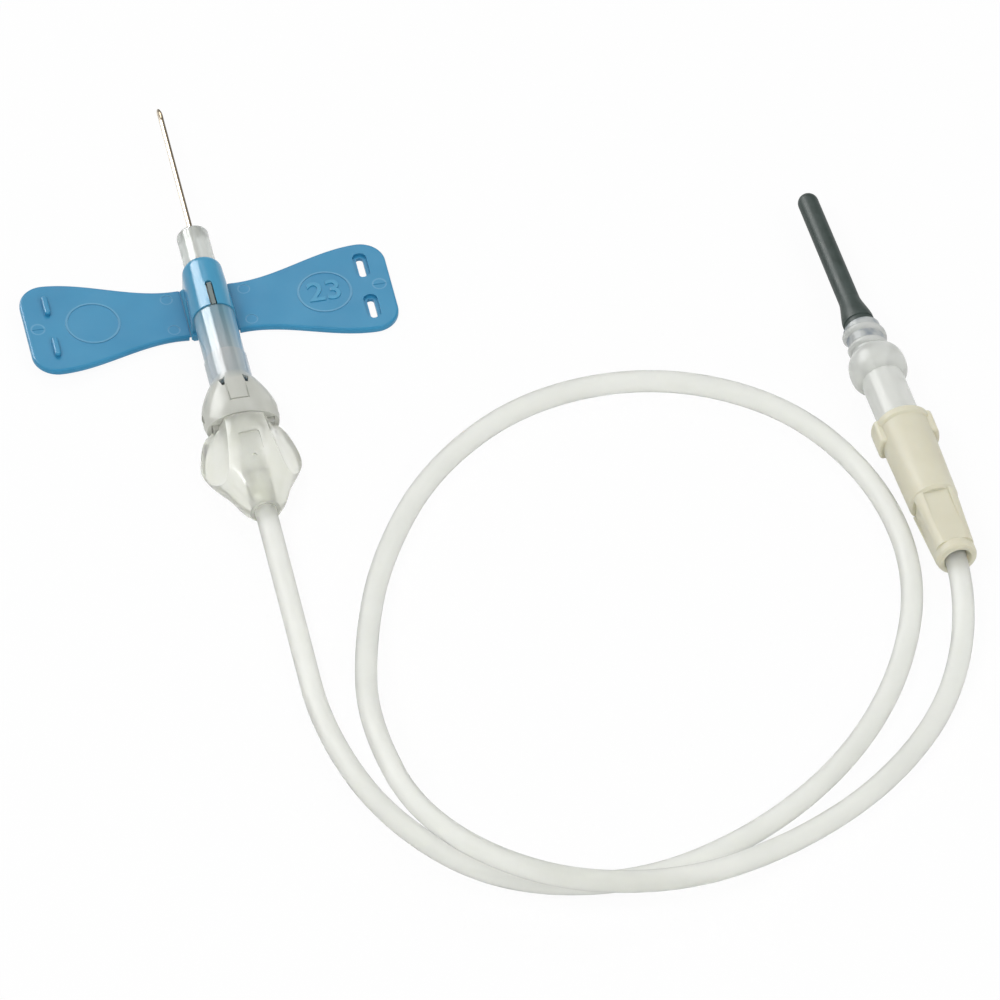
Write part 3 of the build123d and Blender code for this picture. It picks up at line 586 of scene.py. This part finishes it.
def make_thread():
    """The ridge, sunk a little into the neck and running out to nothing at both ends."""
    steps = round(THREAD_TURNS * STEPS_PER_TURN)
    full_rise = THREAD_CREST_RADIUS - THREAD_ROOT_RADIUS
    corners, faces = [], []
    for step in range(steps + 1):
        angle = 2 * math.pi * step / STEPS_PER_TURN
        middle = THREAD_START + THREAD_PITCH * step / STEPS_PER_TURN
        turns_left = min(step, steps - step) / STEPS_PER_TURN
        rise = min(1.0, turns_left / THREAD_RUN_OUT)
        crest = THREAD_ROOT_RADIUS + THREAD_LEAST_RISE + full_rise * rise
        profile = thread_profile(crest)
        for radius, offset in profile:
            corners.append(luer_point(radius, angle, middle + offset))
    sides = len(profile)
    for step in range(steps):
        for side in range(sides):
            a, b = sides * step + side, sides * step + (side + 1) % sides
            faces.append((a, b, b + sides, a + sides))
    faces.append(tuple(range(sides)))
    faces.append(tuple(reversed(range(sides * steps, sides * steps + sides))))
    mesh = bpy.data.meshes.new("holder_thread")
    mesh.from_pydata(corners, [], faces)
    mesh.materials.append(clear_plastic(
        "clear_thread", srgb(240, 241, 238), srgb(228, 230, 226), clearness=0.4, roughness=0.15,
        gloss=0.4))
    mesh.shade_smooth()
    thread = add("holder_thread", mesh)
    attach(thread, "luer_end")


make_thread()


# Studio: a white floor, an even white room, three soft lamps and a panel that shows in gloss

FLOOR_HALF_WIDTH = 1500.0
FLOOR_DROP = 0.02
FLOOR_GREY = (0.86, 0.86, 0.86, 1.0)
FLOOR_WHITE_SHARE = 0.94


def floor_material():
    """White floor: what the camera, gloss and clear plastic see is mostly plain white."""
    shader = Shader("floor_white")
    shader.set(Base_Color=FLOOR_GREY, Roughness=0.9)
    rays = shader.node("ShaderNodeLightPath").outputs
    seen = rays["Is Camera Ray"]
    for kind in ("Is Glossy Ray", "Is Transmission Ray"):
        seen = shader.calculate("MAXIMUM", seen, rays[kind])
    share = shader.calculate("MULTIPLY", seen, FLOOR_WHITE_SHARE)
    white = shader.node("ShaderNodeEmission", {"Strength": 1.0}).outputs[0]
    both = shader.node("ShaderNodeMixShader", {
        0: share, 1: shader.principled.outputs[0], 2: white}).outputs[0]
    surface = shader.tree.nodes["Material Output"].inputs["Surface"]
    shader.tree.links.new(both, surface)
    return shader.material


def make_floor():
    half, low = FLOOR_HALF_WIDTH * MM, -FLOOR_DROP * MM
    mesh = bpy.data.meshes.new("floor")
    corners = [(x * half, y * half, low) for x, y in ((-1, -1), (1, -1), (1, 1), (-1, 1))]
    mesh.from_pydata(corners, [], [(0, 1, 2, 3)])
    mesh.materials.append(floor_material())
    floor = add("floor", mesh)


ROOM_STRENGTH = 0.5
HORIZON = (0.85, 0.86, 0.87, 1.0)
OVERHEAD = (1.0, 1.0, 1.0, 1.0)
OVERHEAD_FROM = 0.75


def make_world():
    """Even room light, brighter overhead than at the horizon, so that clear edges show."""
    world = bpy.data.worlds.new("room")
    world.use_nodes = True
    bpy.context.scene.world = world
    tree = world.node_tree
    background = tree.nodes["Background"]
    background.inputs["Strength"].default_value = ROOM_STRENGTH
    direction = tree.nodes.new("ShaderNodeTexCoord").outputs["Generated"]
    split = tree.nodes.new("ShaderNodeSeparateXYZ")
    ramp = tree.nodes.new("ShaderNodeValToRGB")
    tree.links.new(direction, split.inputs[0])
    tree.links.new(split.outputs["Z"], ramp.inputs["Fac"])
    low, high = ramp.color_ramp.elements
    low.position, low.color = 0.0, HORIZON
    high.position, high.color = OVERHEAD_FROM, OVERHEAD
    tree.links.new(ramp.outputs["Color"], background.inputs["Color"])


def make_lamp(name, azimuth, elevation, distance, size, power, gloss_only=False):
    """Soft lamp aimed at the middle of the object, with metres, watts and degrees. Azimuth 0 is on
    the -Y side and turns towards +X. With gloss_only it only shows in glossy reflections."""
    middle = (cad_box[0] + cad_box[1]) / 2
    turn, rise = math.radians(azimuth), math.radians(elevation)
    away = Vector((math.sin(turn) * math.cos(rise), -math.cos(turn) * math.cos(rise), math.sin(rise)))
    data = bpy.data.lights.new(name, "AREA")
    data.shape = "RECTANGLE"
    data.size, data.size_y = size
    data.energy = power
    lamp = add(name, data)
    lamp.visible_diffuse = not gloss_only
    lamp.visible_transmission = not gloss_only
    lamp.location = middle + away * distance
    lamp.rotation_euler = (-away).to_track_quat("-Z", "Y").to_euler()


make_floor()
make_world()
make_lamp("key", azimuth=-60, elevation=58, distance=1.0, size=(0.5, 0.35), power=3.4)
make_lamp("fill", azimuth=45, elevation=42, distance=1.1, size=(0.6, 0.5), power=2.4)
make_lamp("back", azimuth=170, elevation=50, distance=1.1, size=(0.7, 0.3), power=2.0)
make_lamp("gloss_panel", azimuth=-140, elevation=30, distance=1.1, size=(0.7, 0.6), power=20.0,
          gloss_only=True)

bpy.context.scene.view_settings.view_transform = "Standard"
